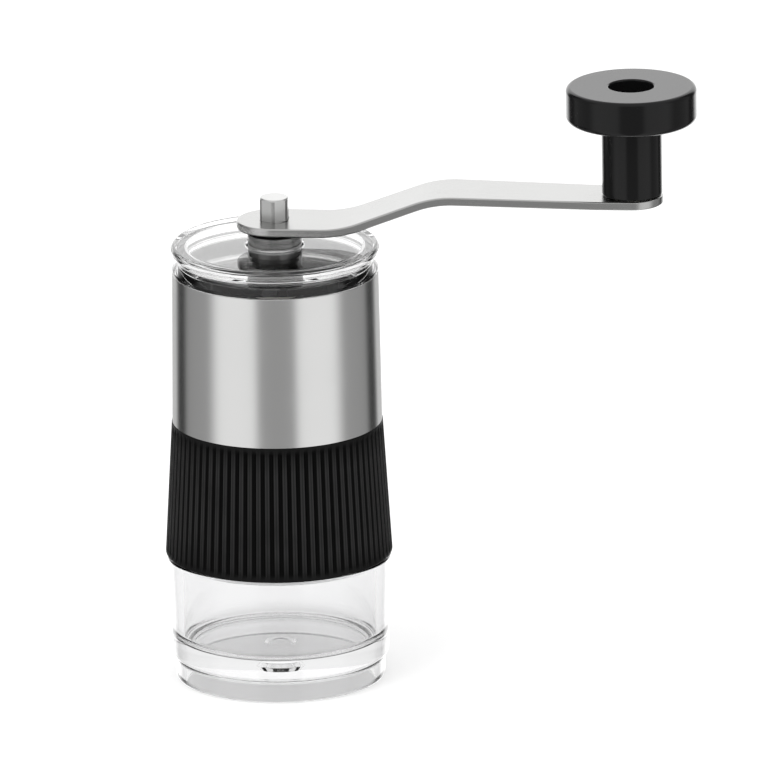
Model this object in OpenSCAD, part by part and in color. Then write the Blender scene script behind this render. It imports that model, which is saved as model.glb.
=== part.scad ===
// Hand crank coffee grinder: a conical burr mill in a black hopper body, with a
// steel sleeve, a ribbed grip, a clear lid, a lift-off crank arm and a clear jar
// that screws on from below.
// Millimetres, +Z up. The origin is the centre of the jar's flat underside, on
// the shaft's axis, and the crank arm lies along +X.

/* [Jar] */
// Height of the jar from its underside to the shoulder under the grip
jar_h = 33.9; // [30:0.1:41]
// Height of the narrower foot
foot_h = 6.4; // [3:0.1:8]
// Step from the foot out to the wall above it
foot_step = 1.1; // [0.5:0.1:2]
// Height over which the wall rounds out above the foot
foot_blend = 1.3; // [0.8:0.1:2]
// Edge break around the underside
foot_edge = 1; // [0.4:0.1:1.5]
// How much wider the wall is under the grip than above the foot
jar_taper = 0.95; // [0:0.05:2]
// Height of the inner floor
jar_floor = 11; // [4:0.1:14]
// Height of the hollow under the jar's floor
under_h = 5.4; // [3:0.1:7]
// Wall of the foot around that hollow
foot_wall = 3.4; // [2:0.1:5]
// Rounding at the top of the hollow
under_fillet = 1.5; // [0.5:0.1:2.5]
// Radius of the moulding mark in the middle of the hollow
gate_r = 3.5; // [2:0.1:5]
// Depth of that mark
gate_h = 1.2; // [0.4:0.1:1.5]
// Inner corner radius between floor and wall
jar_fillet = 3; // [1:0.1:5]
// Height of the neck that screws into the body
neck_h = 12; // [11:0.1:15]
// Wall of the neck
neck_wall = 1.3; // [1:0.05:2]
// Draft of the inner wall over its height
jar_draft = 0.2; // [0:0.05:0.5]
// Thickness of the seal above the neck
seal_t = 1.1; // [0.8:0.1:2]

/* [Jar thread] */
// Rise of the thread in one turn
thread_pitch = 4; // [3.6:0.1:5]
// Height of each ridge from its root
ridge_h = 0.6; // [0.4:0.05:1]
// Width of a ridge at its root
ridge_base = 1.7; // [1.2:0.05:1.7]
// Width of a ridge at its crest
ridge_crest = 0.7; // [0.4:0.05:0.9]
// Turns of ridge on each side
ridge_turns = 1; // [0.75:0.05:1.2]
// Height of the start of the neck's ridge above the shoulder
ridge_start = 4.1; // [3.9:0.1:5]
// Gap between a crest and the wall that faces it
ridge_gap = 0.35; // [0.3:0.05:0.5]

/* [Grip] */
// Height of the grip
grip_h = 36.4; // [30:0.1:44]
// Gap between the jar's shoulder and the grip
grip_gap = 0.3; // [0.2:0.05:0.6]
// How much wider the grip is at its lower edge
grip_flare = 2.1; // [1:0.1:4]
// Wall of the grip above the skirt
grip_wall = 1.4; // [1:0.1:1.8]
// Wall of the grip around the skirt
grip_band = 0.8; // [0.7:0.05:1]
// Step from the grip's lower edge in to the jar's wall
jar_inset = 0.35; // [0.2:0.05:1]
// Number of ribs around the grip
rib_count = 76; // [40:4:96]
// Depth of the grooves between ribs
rib_depth = 0.4; // [0.2:0.05:0.5]
// Radius of the round cutter that shapes a groove
rib_round = 0.6; // [0.4:0.05:0.8]
// Plain band left above and below the ribs
rib_margin = 1.3; // [0.8:0.1:3]

/* [Body] */
// Outer radius at the seam between grip and steel sleeve
seam_r = 28; // [27:0.1:34]
// Height of the steel sleeve
sleeve_h = 41; // [36:0.1:50]
// How much narrower the sleeve is at its rim
sleeve_taper = 0.6; // [0:0.05:1.5]
// Wall of the steel sleeve
sleeve_wall = 0.8; // [0.5:0.05:1]
// Step from the grip in to the sleeve at the seam
sleeve_set = 0.05; // [0:0.05:0.3]
// Wall of the hopper body around the upper bridge
body_wall = 1.9; // [1.5:0.1:3]
// Ledge that carries the upper bridge
bridge_ledge = 0.6; // [0.4:0.1:1]
// Thinnest wall of the threaded skirt
skirt_wall = 0.6; // [0.6:0.05:1.2]
// Height of the funnel above the burrs
funnel_h = 16; // [12:0.5:20]
// Wall of the funnel, measured upright
funnel_wall = 5.6; // [4:0.1:8]
// Wall of the housing around the outer burr
housing_wall = 2.25; // [1.5:0.05:3]
// Gap between parts that are pushed together
push_gap = 0.05; // [0.02:0.01:0.1]

/* [Bearings] */
// Radius of the hubs that hold the bushes
hub_r = 7.5; // [7:0.1:9]
// Height of each hub
hub_h = 6; // [5:0.5:8]
// Width of the three arms of each spider
spider_w = 4; // [3:0.1:6]
// Drop from the rim to the top of the upper bridge
bridge_drop = 5.6; // [5.4:0.1:8]
// Height of the lower hub above the burrs
hub_rise = 8; // [7:0.5:9]
// Outer radius of the bushes
bush_r = 5.6; // [5.4:0.1:6.4]
// Radius of the bush flanges
flange_r = 7.2; // [6.5:0.1:8]
// Thickness of the upper bush's flange
flange_t = 0.5; // [0.4:0.1:1]
// Thickness of the lower bush's flange
thrust_t = 1.2; // [0.8:0.1:1.6]
// Gap around the turning shaft
running_gap = 0.06; // [0.03:0.01:0.09]
// Gap between turning faces
face_gap = 0.1; // [0.05:0.05:0.2]

/* [Burrs] */
// Outer radius of the outer burr
burr_r = 19; // [15:0.1:19.5]
// Height of the outer burr
burr_h = 16; // [14:0.5:20]
// Ledge above the outer burr
burr_ledge = 1.7; // [1:0.1:2.5]
// Wall of the outer burr at its lower edge
burr_wall = 3.1; // [2.5:0.1:4]
// Gap between the burrs at their lower edges
grind_gap = 0.5; // [0.45:0.05:0.8]
// Slope of the grinding faces, radius lost for each millimetre of height
grind_slope = 0.185; // [0.1:0.005:0.25]
// Height of the closely fitting part of the faces
grind_h = 4; // [3:0.5:5]
// Outer radius of the inner burr at its top
cone_top_r = 8; // [7.6:0.1:9]
// Number of coarse teeth on the inner burr
coarse_teeth = 6; // [4:1:8]
// Number of fine teeth on each burr
fine_teeth = 24; // [12:2:36]
// Depth of the fine teeth
fine_depth = 0.7; // [0.4:0.1:1]
// Radius of the hole through the inner burr
core_r = 5.6; // [5.4:0.1:6]

/* [Retainer] */
// Thickness of the ring that holds the outer burr
retainer_t = 2; // [1.5:0.1:3]
// Depth of the recess that holds the ring
retainer_recess = 3; // [2.5:0.1:4]
// Radius of the retainer screws
screw_r = 1.25; // [1:0.05:1.3]
// Radius of the retainer screws' heads
screw_head_r = 2; // [1.8:0.1:2]
// Height of the retainer screws' heads
screw_head_h = 1.3; // [1:0.1:1.6]
// Length of the retainer screws under the head
screw_len = 9; // [6:0.5:12]

/* [Shaft] */
// Radius of the shaft
shaft_r = 4; // [3.7:0.05:4.8]
// Width across the flats of the hex end
hex_af = 7.3; // [5.5:0.1:7.6]
// Height of the hex end above the arm
hex_proud = 6.1; // [4:0.1:9]
// Radius of the part with two flats that drives the inner burr
drive_r = 3.2; // [3:0.05:3.5]
// Width across those two flats
drive_af = 5; // [4.4:0.1:5.4]
// Radius of the threaded end
thread_r = 2.5; // [2.2:0.1:2.7]
// Thread that stands out below the adjuster at its lowest
thread_spare = 1.4; // [0.5:0.1:3]
// Radius of the collar under the arm
collar_r = 7.2; // [6.6:0.1:8]
// Height of the collar above the lid
collar_proud = 3; // [2:0.1:4.5]
// Radius of the washer under the arm
washer_r = 6.1; // [5.5:0.1:7]
// Thickness of the washer under the arm
washer_t = 1.3; // [0.8:0.1:2]
// Thickness of the retaining clip
clip_t = 0.7; // [0.5:0.1:1]

/* [Grind adjuster] */
// Thickness of the driver's flange under the inner burr
driver_t = 2.5; // [2:0.1:3.5]
// Radius of the driver's flange
driver_r = 12; // [10:0.1:13]
// Height of the driver's hub inside the inner burr
driver_hub_h = 10; // [8:0.5:11]
// Radius of the adjuster nut
nut_r = 9; // [8:0.1:11]
// Height of the adjuster nut
nut_h = 6.3; // [6:0.1:7]
// Scallops around the adjuster nut
nut_scallops = 12; // [8:1:18]
// Width across the flats of the brass insert
insert_af = 8; // [7.4:0.1:9]
// Height of the brass insert
insert_h = 3.5; // [3:0.1:3.8]
// Most the burr can rise from its rest setting
shift_up = 0.8; // [0.4:0.1:0.8]
// Most the burr can drop from its rest setting
shift_down = 1.6; // [0.8:0.1:2.4]
// Wire diameter of the spring
spring_wire = 0.9; // [0.7:0.05:1]
// Working turns of the spring
spring_turns = 5; // [4:1:6]

/* [Lid] */
// Height of the flange that sits on the rim
lid_flange_h = 2.7; // [2:0.1:4]
// Radius of the waist above the flange
lid_waist_in = 1.55; // [1:0.05:2.5]
// Height of the waist
lid_waist_h = 1.2; // [0.8:0.1:2]
// Height of the round rim of the lid
lid_rim_h = 3.7; // [3:0.1:5]
// How far the round rim stands out past the sleeve
lid_rim_out = 0.35; // [0:0.05:1]
// Thickness of the lid's top
lid_top_t = 2.5; // [1.8:0.1:3]
// Depth of the plug below the rim
plug_h = 5.1; // [4:0.1:5.1]
// Wall of the plug
plug_wall = 2.4; // [1.8:0.1:3]
// Gap between the plug and the sleeve around it
plug_gap = 0.15; // [0.1:0.05:0.4]
// Gap between the lid's hole and the collar
lid_hole_gap = 0.6; // [0.4:0.05:1]

/* [Crank arm] */
// Distance from the shaft's axis to the knob's axis
arm_reach = 95.2; // [80:0.1:114]
// Thickness of the arm
arm_t = 2.3; // [1.9:0.1:3.2]
// Radius of the arm's end around the shaft
arm_hub_r = 10; // [8:0.1:12]
// Radius of the arm's end under the knob
arm_end_r = 8.2; // [7:0.1:10]
// Rise of the arm from its hub to the top of the slope
arm_rise = 9.2; // [4:0.1:14]
// How far it comes down again on the way to the knob
arm_droop = 0.8; // [0:0.1:1.5]
// Where the arm starts to rise
bend_x = 12.9; // [11:0.1:24]
// Slope of the rising stretch
bend_angle = 20.5; // [12:0.5:35]
// Radius of the bends along the middle of the plate
bend_r = 30; // [10:0.5:36]
// Gap between the arm's hex hole and the shaft
hex_gap = 0.1; // [0.05:0.01:0.15]

/* [Knob] */
// Radius of the knob's disc
knob_r = 17.35; // [14:0.05:21]
// Height of the knob's disc
disc_h = 9.5; // [7:0.1:12]
// Radius of the knob's stem
stem_r = 8; // [7.5:0.05:9.6]
// Height of the stem from the arm to the disc
stem_h = 20.3; // [16:0.1:25]
// Rounding of the disc's upper edge
disc_edge = 1; // [0.5:0.1:2]
// Rounding of the disc's lower edge
disc_under = 1.8; // [1:0.1:3]
// Radius of the recess in the knob's top
recess_r = 6; // [5.6:0.1:7.2]
// Depth of that recess
recess_d = 8; // [5:0.1:9]
// Radius of the axle inside the knob
axle_r = 3; // [2.6:0.1:3.6]
// Radius of the axle's threaded end
axle_thread_r = 2.5; // [2:0.1:2.5]
// Radius of the axle's head
axle_head_r = 5.3; // [4.6:0.1:5.5]
// Height of the axle's head
axle_head_h = 3; // [2:0.1:3.5]
// Width across the flats of the socket in the head
socket_af = 4; // [3:0.1:5]
// Radius of the washer under the knob
knob_washer_r = 6.2; // [5:0.1:6.4]
// Thickness of the washer under the knob
knob_washer_t = 0.6; // [0.4:0.1:0.8]
// Gap between the knob's stem and the arm
stem_gap = 0.3; // [0.2:0.05:0.4]

/* [Hidden] */
$fn = 96;

// levels from the table upwards
grip_z = jar_h + grip_gap;
seam_z = grip_z + grip_h;
rim_z = seam_z + sleeve_h;
neck_z = jar_h + neck_h;
ceiling_z = neck_z + seal_t;
burr_z = ceiling_z + retainer_recess;
burr_top = burr_z + burr_h;
funnel_z = burr_top + funnel_h;
hub_z = burr_top + hub_rise;
bridge_z = rim_z - bridge_drop - hub_h;
wall_z = rim_z - plug_h - 0.3;
collar_z = bridge_z + hub_h + flange_t + face_gap;
lid_top = rim_z + lid_flange_h + lid_waist_h + lid_rim_h;
collar_top = lid_top + collar_proud;
arm_z = collar_top + washer_t;
hex_top = arm_z + arm_t + hex_proud;
knob_z = arm_z + arm_t + arm_rise - arm_droop;
disc_z = knob_z + stem_h;
knob_top = disc_z + disc_h;
recess_z = knob_top - recess_d;

// radii of the body and what lines up with it
grip_low_r = seam_r + grip_flare;
skirt_z = grip_z + 0.3;
skirt_top = ceiling_z + 2;
bore_r = grip_r(skirt_top) - grip_band - skirt_wall;
neck_r = bore_r - ridge_gap - ridge_h;
jar_in_r = neck_r - neck_wall;
jar_top_r = grip_low_r - jar_inset;
jar_low_r = jar_top_r - jar_taper;
foot_r = jar_low_r - foot_step;
under_r = foot_r - foot_wall - 0.3;
rim_r = seam_r - sleeve_set - sleeve_taper;
hopper_top_r = rim_r - sleeve_wall - push_gap - body_wall;
hopper_r = hopper_top_r - bridge_ledge;
throat_r = burr_r - burr_ledge;
housing_r = burr_r + push_gap + housing_wall;
pocket_r = jar_in_r - 0.3;
pocket_margin = 0.4;
boss_at = (housing_r + pocket_r) / 2;
boss_r = (pocket_r - housing_r) / 2 + pocket_margin;
boss_set = 0.2;

// burrs, shaft and adjuster
ring_low_r = burr_r - burr_wall;
ring_throat_z = burr_top - 2.5;
ring_throat_r = ring_low_r - grind_slope * (ring_throat_z - burr_z);
ring_top_r = ring_throat_r + 1.1;
cone_low_r = ring_low_r - grind_gap;
cone_mid_r = cone_low_r - grind_slope * grind_h;
cone_top = burr_top + 0.5;
grind_lean = atan(grind_slope);
cone_lean = atan((cone_mid_r - cone_top_r) / (cone_top - burr_z - grind_h));
fine_side = fine_depth * sqrt(2);
coarse_side = 3.2;
fine_reach = 7;
driver_z = burr_z - driver_t;
hub_top = driver_z + driver_t + driver_hub_h;
shoulder_z = burr_top + 3;
spring_seat = shoulder_z - 0.8;
nut_z = driver_z - 0.2 - nut_h;
drive_z = nut_z + insert_h + shift_up + 0.2;
shaft_end = nut_z - shift_down - thread_spare;
clip_z = hub_z - thrust_t - face_gap - clip_t;
clip_groove_r = shaft_r - 0.6;
hex_corner = hex_af / 2 / cos(30);
hex_r = min(hex_corner, shaft_r - 0.05);
lug_count = 3;
lug_w = 4;
lug_out = 2.4;
lug_h = 1.5;
lug_gap = 0.2;

function grip_r(z) = seam_r + grip_flare * (seam_z - z) / grip_h;
function sleeve_r(z) = seam_r - sleeve_set - sleeve_taper * (z - seam_z) / sleeve_h;
function funnel_at(r) = burr_top + funnel_h * (r - throat_r) / (hopper_r - throat_r);
// points of an arc about c, from angle a to angle b
function arc(c, r, a, b, n = 6) =
    [for (i = [0:n]) c + r * [cos(a + (b - a) * i / n), sin(a + (b - a) * i / n)]];

// a solid turned from an outline of radius and height
module turned(outline) {
    rotate_extrude() polygon(outline);
}

// a plain ring or tube
module ring(inner, outer, z, h) {
    translate([0, 0, z]) difference() {
        cylinder(r = outer, h = h);
        translate([0, 0, -1]) cylinder(r = inner, h = h + 2);
    }
}

// n copies turned evenly around the axis
module around(n, start = 0) {
    for (i = [0:n - 1]) rotate([0, 0, start + i * 360 / n]) children();
}

// a helical ridge from its root outwards, or inwards where crest is the smaller
module ridge(root, crest, z) {
    side = crest > root ? 1 : -1;
    steps = round(48 * ridge_turns);
    fade = 4;
    sunk = root - side * 0.3;
    rings = [for (k = [0:steps])
        let (a = 360 * ridge_turns * k / steps,
            lift = min(1, (k + 0.4) / fade, (steps - k + 0.4) / fade),
            top = root + (crest - root) * lift,
            base = side * ridge_base / 2 * (0.4 + 0.6 * lift),
            tip = side * ridge_crest / 2 * lift,
            up = z + thread_pitch * ridge_turns * k / steps)
        [for (p = [[sunk, -base], [top, -tip], [top, tip], [sunk, base]])
            [p[0] * cos(a), p[0] * sin(a), up + p[1]]]];
    walls = [for (k = [0:steps - 1]) for (j = [0:3])
        let (n = (j + 1) % 4, q = 4 * k)
        each [[q + j, q + n, q + 4 + n], [q + j, q + 4 + n, q + 4 + j]]];
    ends = [[3, 2, 1, 0], [for (j = [0:3]) 4 * steps + j]];
    polyhedron([for (r = rings) each r], concat(walls, ends), convexity = 4);
}

// a square bar set on edge, slanted across the face and leaning with it
module flute(slant, lean, side, h) {
    rotate([0, -lean, 0]) rotate([slant, 0, 0]) rotate([0, 0, 45])
        cube([side, side, h], center = true);
}

// three arms from the axis out to a wall
module spider_arms(z, reach) {
    around(3, 30) translate([0, -spider_w / 2, z]) cube([reach, spider_w, hub_h]);
}

module hopper_body() {
    color([0.05, 0.05, 0.055]) {
        difference() {
            union() {
                turned([
                    [bore_r, skirt_z],
                    [grip_r(skirt_z) - grip_band, skirt_z],
                    [grip_r(skirt_top) - grip_band, skirt_top],
                    [grip_r(skirt_top) - grip_wall, skirt_top],
                    [grip_r(seam_z) - grip_wall, seam_z],
                    [sleeve_r(seam_z) - sleeve_wall - push_gap, seam_z],
                    [sleeve_r(wall_z) - sleeve_wall - push_gap, wall_z],
                    [hopper_top_r, wall_z],
                    [hopper_top_r, bridge_z],
                    [hopper_r, bridge_z],
                    [hopper_r, funnel_z],
                    [throat_r, burr_top],
                    [burr_r + push_gap, burr_top],
                    [burr_r + push_gap, burr_z],
                    [housing_r, burr_z],
                    [housing_r, funnel_at(housing_r) - funnel_wall],
                    [pocket_r, funnel_at(pocket_r) - funnel_wall],
                    [pocket_r, ceiling_z],
                    [bore_r, ceiling_z]
                ]);
                // screw bosses in the pocket around the burr housing
                around(3, 90) translate([boss_at, 0, burr_z + boss_set])
                    cylinder(r = boss_r, h = screw_len + 2, $fn = 32);
                intersection() {
                    spider_arms(hub_z, hopper_r + 2);
                    turned([
                        [0, hub_z - 1],
                        [throat_r + 1, burr_top],
                        [hopper_r + 1, funnel_z],
                        [0, funnel_z]
                    ]);
                }
                translate([0, 0, hub_z]) cylinder(r = hub_r, h = hub_h);
            }
            translate([0, 0, hub_z - 1]) cylinder(r = bush_r + push_gap, h = hub_h + 2);
            around(3, 90) translate([boss_at, 0, burr_z - 1])
                cylinder(r = screw_r + 2 * push_gap, h = screw_len + 1, $fn = 32);
        }
        ridge(bore_r, bore_r - ridge_h, jar_h + ridge_start - thread_pitch / 2);
    }
}

module steel_sleeve() {
    color([0.78, 0.78, 0.77]) turned([
        [seam_r - sleeve_set - sleeve_wall, seam_z],
        [seam_r - sleeve_set, seam_z],
        [rim_r, rim_z - 0.3],
        [rim_r - 0.3, rim_z],
        [rim_r - sleeve_wall + 0.2, rim_z],
        [rim_r - sleeve_wall, rim_z - 0.2]
    ]);
}

module grip_sleeve() {
    lean = atan(grip_flare / grip_h);
    mid_z = (seam_z + grip_z) / 2;
    color([0.12, 0.12, 0.12]) difference() {
        turned([
            [grip_r(grip_z) - grip_band + push_gap, grip_z],
            [grip_low_r - 0.4, grip_z],
            [grip_low_r, grip_z + 0.4],
            [seam_r, seam_z],
            [seam_r - grip_wall + push_gap, seam_z],
            [grip_r(skirt_top) - grip_wall + push_gap, skirt_top],
            [grip_r(skirt_top) - grip_band + push_gap, skirt_top]
        ]);
        around(rib_count) translate([grip_r(mid_z) + rib_round - rib_depth, 0, mid_z])
            rotate([0, -lean, 0])
                cylinder(r = rib_round, h = grip_h - 2 * rib_margin, center = true, $fn = 24);
    }
}

module upper_bridge() {
    color([0.05, 0.05, 0.055]) difference() {
        union() {
            ring(hopper_r - 1, hopper_top_r - push_gap, bridge_z, hub_h);
            spider_arms(bridge_z, hopper_r - 0.5);
            translate([0, 0, bridge_z]) cylinder(r = hub_r, h = hub_h);
        }
        translate([0, 0, bridge_z - 1]) cylinder(r = bush_r + push_gap, h = hub_h + 2);
    }
}

// a flanged bush, the flange at the top or the bottom
module bush(z, h, flange_z, t) {
    difference() {
        union() {
            translate([0, 0, z]) cylinder(r = bush_r, h = h);
            translate([0, 0, flange_z]) cylinder(r = flange_r, h = t);
        }
        translate([0, 0, z - 5]) cylinder(r = shaft_r + running_gap, h = h + 10);
    }
}

module upper_bush() {
    color([0.85, 0.84, 0.8]) bush(bridge_z, hub_h, bridge_z + hub_h, flange_t);
}

module lower_bush() {
    color([0.85, 0.84, 0.8]) bush(hub_z, hub_h, hub_z - thrust_t, thrust_t);
}

module outer_burr() {
    color([0.9, 0.89, 0.86]) difference() {
        turned([
            [ring_low_r, burr_z],
            [burr_r, burr_z],
            [burr_r, burr_top],
            [ring_top_r, burr_top],
            [ring_throat_r, ring_throat_z]
        ]);
        // slanted fine teeth low on the grinding face, and coarse ones at its mouth
        around(fine_teeth) translate([ring_low_r, 0, burr_z])
            flute(18, grind_lean, fine_side, 2 * fine_reach);
        around(fine_teeth / 2) translate([ring_throat_r, 0, ring_throat_z])
            flute(18, grind_lean, 1.8, burr_h);
    }
}

module burr_retainer() {
    color([0.05, 0.05, 0.055]) difference() {
        ring(ring_low_r + 0.4, pocket_r - push_gap, burr_z - retainer_t, retainer_t);
        around(3, 90) translate([boss_at, 0, burr_z - retainer_t - 1])
            cylinder(r = screw_r + 0.15, h = retainer_t + 2, $fn = 32);
    }
}

module retainer_screws() {
    head_z = burr_z - retainer_t - screw_head_h;
    color([0.75, 0.75, 0.75]) around(3, 90) translate([boss_at, 0, head_z]) difference() {
        union() {
            cylinder(r = screw_head_r, h = screw_head_h, $fn = 32);
            cylinder(r = screw_r, h = screw_head_h + retainer_t + screw_len - 1, $fn = 32);
        }
        for (a = [0, 90]) rotate([0, 0, a]) cube([2.4, 0.6, 1.4], center = true);
    }
}

module drive_shaft() {
    color([0.8, 0.8, 0.8]) {
        difference() {
            union() {
                translate([0, 0, shaft_end]) cylinder(r = thread_r, h = drive_z - shaft_end);
                intersection() {
                    translate([0, 0, drive_z]) cylinder(r = drive_r, h = shoulder_z - drive_z);
                    translate([-drive_r, -drive_af / 2, drive_z])
                        cube([2 * drive_r, drive_af, shoulder_z - drive_z]);
                }
                translate([0, 0, shoulder_z]) cylinder(r = shaft_r, h = collar_top - shoulder_z);
            }
            ring(clip_groove_r, shaft_r + 1, clip_z - 0.05, clip_t + 0.1);
        }
        // hex end, one corner to the front, its corners turned down to the round bar
        intersection() {
            translate([0, 0, collar_top]) rotate([0, 0, 30])
                cylinder(r = hex_corner, h = hex_top - collar_top, $fn = 6);
            turned([
                [0, collar_top],
                [shaft_r - 0.05, collar_top],
                [shaft_r - 0.05, hex_top - 0.4],
                [shaft_r - 0.45, hex_top],
                [0, hex_top]
            ]);
        }
    }
}

module shaft_collar() {
    color([0.8, 0.8, 0.8]) turned([
        [shaft_r + 0.02, collar_z],
        [collar_r, collar_z],
        [collar_r, collar_top - 0.3],
        [collar_r - 0.3, collar_top],
        [shaft_r + 0.02, collar_top]
    ]);
}

module collar_washer() {
    color([0.04, 0.04, 0.04]) ring(hex_r + 0.1, washer_r, collar_top, washer_t);
}

module shaft_clip() {
    color([0.6, 0.6, 0.6]) difference() {
        ring(clip_groove_r + 0.02, shaft_r + 2.2, clip_z, clip_t);
        translate([0, -shaft_r * 0.7, clip_z - 1]) cube([shaft_r + 4, shaft_r * 1.4, clip_t + 2]);
    }
}

module thrust_washer() {
    color([0.8, 0.8, 0.8]) ring(drive_r + 0.05, core_r - 0.4, spring_seat, 0.8);
}

module burr_spring() {
    coil_r = core_r - 0.4 - spring_wire / 2;
    low = hub_top + spring_wire / 2 + 0.02;
    high = spring_seat - spring_wire / 2 - 0.02;
    steps = spring_turns * 16;
    sides = 6;
    points = [for (k = [0:steps]) for (j = [0:sides - 1])
        let (a = 360 * spring_turns * k / steps,
            b = 360 * j / sides,
            r = coil_r + spring_wire / 2 * cos(b))
        [r * cos(a), r * sin(a), low + (high - low) * k / steps + spring_wire / 2 * sin(b)]];
    walls = [for (k = [0:steps - 1]) for (j = [0:sides - 1])
        let (n = (j + 1) % sides, q = sides * k)
        each [[q + j, q + n, q + sides + n], [q + j, q + sides + n, q + sides + j]]];
    ends = [[for (j = [0:sides - 1]) sides - 1 - j], [for (j = [0:sides - 1]) sides * steps + j]];
    color([0.7, 0.7, 0.7]) polyhedron(points, concat(walls, ends), convexity = 8);
}

module inner_burr() {
    color([0.9, 0.89, 0.86]) difference() {
        turned([
            [core_r, burr_z],
            [cone_low_r, burr_z],
            [cone_mid_r, burr_z + grind_h],
            [cone_top_r, cone_top],
            [core_r, cone_top]
        ]);
        around(fine_teeth, 7) translate([cone_low_r, 0, burr_z])
            flute(-18, grind_lean, fine_side, 2 * fine_reach);
        // sweeping coarse teeth that draw the beans down
        around(coarse_teeth)
            translate([(cone_mid_r + cone_top_r) / 2, 0, (burr_z + grind_h + cone_top) / 2])
                flute(-30, cone_lean, coarse_side, 2 * burr_h);
        around(lug_count) translate([0, -lug_w / 2 - lug_gap, burr_z - 1])
            cube([core_r + lug_out + lug_gap, lug_w + 2 * lug_gap, 1 + lug_h + lug_gap]);
    }
}

module burr_driver() {
    color([0.05, 0.05, 0.055]) difference() {
        union() {
            translate([0, 0, driver_z]) cylinder(r = driver_r, h = driver_t);
            translate([0, 0, driver_z]) cylinder(r = core_r - push_gap, h = hub_top - driver_z);
            around(lug_count) translate([0, -lug_w / 2, driver_z + driver_t / 2])
                cube([core_r + lug_out, lug_w, driver_t / 2 + lug_h]);
        }
        translate([0, 0, driver_z - 1]) intersection() {
            cylinder(r = drive_r + 0.05, h = hub_top - driver_z + 2);
            translate([-drive_r - 1, -drive_af / 2 - 0.05, 0])
                cube([2 * drive_r + 2, drive_af + 0.1, hub_top - driver_z + 2]);
        }
        // click notches that face the adjuster
        around(nut_scallops) translate([nut_r - 2, 0, driver_z - 0.1]) rotate([0, 90, 0])
            cylinder(r = 0.6, h = driver_r, $fn = 16);
    }
}

module adjuster_nut() {
    color([0.05, 0.05, 0.055]) difference() {
        translate([0, 0, nut_z]) cylinder(r = nut_r, h = nut_h);
        around(nut_scallops, 15) translate([nut_r + 0.9, 0, nut_z - 1])
            cylinder(r = 1.8, h = nut_h + 2, $fn = 32);
        translate([0, 0, nut_z - 1]) cylinder(r = drive_r + 0.5, h = nut_h + 2);
        translate([0, 0, nut_z - 1])
            cylinder(r = (insert_af / 2 + push_gap) / cos(30), h = insert_h + 1, $fn = 6);
    }
}

module nut_insert() {
    color([0.78, 0.62, 0.25]) difference() {
        translate([0, 0, nut_z]) cylinder(r = insert_af / 2 / cos(30), h = insert_h, $fn = 6);
        translate([0, 0, nut_z - 1]) cylinder(r = thread_r + running_gap, h = insert_h + 2);
    }
}

// the side view of the plate: flat, up the slope, slightly down, then flat under the knob
module arm_side() {
    half = arm_t / 2;
    turn_h = bend_r * (1 - cos(bend_angle));
    turn_x = bend_r * sin(bend_angle);
    run = (arm_rise - 2 * turn_h) / tan(bend_angle);
    low = arm_z + half;
    high = low + arm_rise;
    x2 = bend_x + 2 * turn_x + run;
    c1 = [bend_x, low + bend_r];
    c2 = [x2, high - bend_r];
    seat = arm_reach - arm_end_r - 1;
    end_x = arm_reach + arm_end_r + 1;
    end_z = high - arm_droop;
    polygon(concat(
        [[-arm_hub_r - 1, low - half]],
        arc(c1, bend_r + half, -90, bend_angle - 90),
        arc(c2, bend_r - half, bend_angle + 90, 90),
        [[seat, end_z - half], [end_x, end_z - half], [end_x, end_z + half], [seat, end_z + half]],
        arc(c2, bend_r + half, 90, bend_angle + 90),
        arc(c1, bend_r - half, bend_angle - 90, -90),
        [[-arm_hub_r - 1, low + half]]
    ));
}

// the plan of the plate: two round ends joined by straight edges
module arm_plan() {
    lean = asin((arm_hub_r - arm_end_r) / arm_reach);
    polygon(concat(
        arc([0, 0], arm_hub_r, 90 - lean, 270 + lean, 32),
        arc([arm_reach, 0], arm_end_r, -90 + lean, 90 - lean, 28)
    ));
}

module crank_arm() {
    color([0.85, 0.85, 0.85]) difference() {
        intersection() {
            translate([0, arm_hub_r + 1, 0]) rotate([90, 0, 0])
                linear_extrude(2 * arm_hub_r + 2) arm_side();
            translate([0, 0, arm_z - 1]) linear_extrude(arm_rise + arm_t + 2) arm_plan();
        }
        translate([0, 0, arm_z - 1]) rotate([0, 0, 30])
            cylinder(r = (hex_af / 2 + hex_gap) / cos(30), h = arm_t + 2, $fn = 6);
        translate([arm_reach, 0, knob_z - arm_t - 1]) cylinder(r = axle_thread_r + 0.02, h = arm_t + 2);
    }
}

module knob_axle() {
    color([0.8, 0.8, 0.8]) translate([arm_reach, 0, 0]) difference() {
        union() {
            translate([0, 0, knob_z - arm_t]) cylinder(r = axle_thread_r, h = arm_t + 1);
            translate([0, 0, knob_z]) cylinder(r = axle_r, h = recess_z + face_gap - knob_z + 1);
            translate([0, 0, recess_z + face_gap]) cylinder(r = axle_head_r, h = axle_head_h);
        }
        translate([0, 0, recess_z + face_gap + 1])
            cylinder(r = socket_af / 2 / cos(30), h = axle_head_h, $fn = 6);
    }
}

module knob_washer() {
    color([0.85, 0.84, 0.8]) translate([arm_reach, 0, 0])
        ring(axle_r + 0.05, knob_washer_r, knob_z, knob_washer_t);
}

module knob() {
    seat = knob_z + knob_washer_t + face_gap;
    blend = 1;
    color([0.1, 0.1, 0.105]) translate([arm_reach, 0, 0]) turned(concat(
        [
            [axle_r + running_gap, seat],
            [knob_washer_r + 0.3, seat],
            [knob_washer_r + 0.3, knob_z + stem_gap],
            [stem_r - 0.3, knob_z + stem_gap],
            [stem_r, knob_z + stem_gap + 0.3]
        ],
        arc([stem_r + blend, disc_z - blend], blend, 180, 90, 3),
        arc([knob_r - disc_under, disc_z + disc_under], disc_under, -90, 0, 4),
        arc([knob_r - disc_edge, knob_top - disc_edge], disc_edge, 0, 90, 4),
        [
            [recess_r, knob_top],
            [recess_r, recess_z],
            [axle_r + running_gap, recess_z]
        ]
    ));
}

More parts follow.
